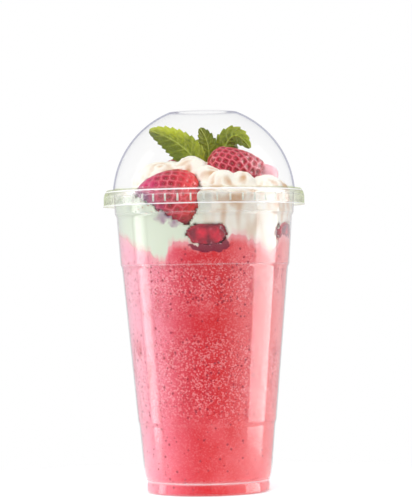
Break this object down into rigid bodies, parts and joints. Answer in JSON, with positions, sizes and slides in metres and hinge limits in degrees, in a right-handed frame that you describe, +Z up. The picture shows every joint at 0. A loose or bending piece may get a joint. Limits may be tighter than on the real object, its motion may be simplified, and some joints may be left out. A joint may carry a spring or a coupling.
{
  "type": "cold drink cup with dome lid",
  "caption": "Clear disposable cold cup with a clear dome lid, filled with a pink strawberry smoothie, whipped cream, strawberries and mint.",
  "frame": {"origin": "centre of the foot ring, on the plane that the cup stands on", "axes": "+Z up along the cup's axis, -Y towards the viewer of the picture's front, +X to the viewer's right"},
  "size_m": [0.1024, 0.1024, 0.1924],
  "materials": {
    "clear_cup": "clear",
    "clear_lid": "clear",
    "pink_drink": "speckled",
    "cream": "soft",
    "red_berry": "moist",
    "dark_berry": "moist",
    "pale_berry": "moist",
    "mint_green": "satin"
  },
  "bodies": {
    "cup": {"cup": "clear_cup", "smoothie": "pink_drink", "whipped_cream": "cream", "strawberry_front": "red_berry", "strawberry_top": "red_berry", "strawberry_rear": "red_berry", "berry_piece_front": "dark_berry", "berry_piece_side": "dark_berry", "berry_piece_under": "dark_berry", "berry_slice": "pale_berry", "mint_leaf_left": "mint_green", "mint_leaf_middle": "mint_green", "mint_leaf_right": "mint_green"},
    "lid": {"lid": "clear_lid"}
  },
  "joints": [
    {"name": "lid_lift", "type": "slide", "parent": "cup", "child": "lid", "axis": [0, 0, 1], "range_m": [0, 0.06]}
  ]
}
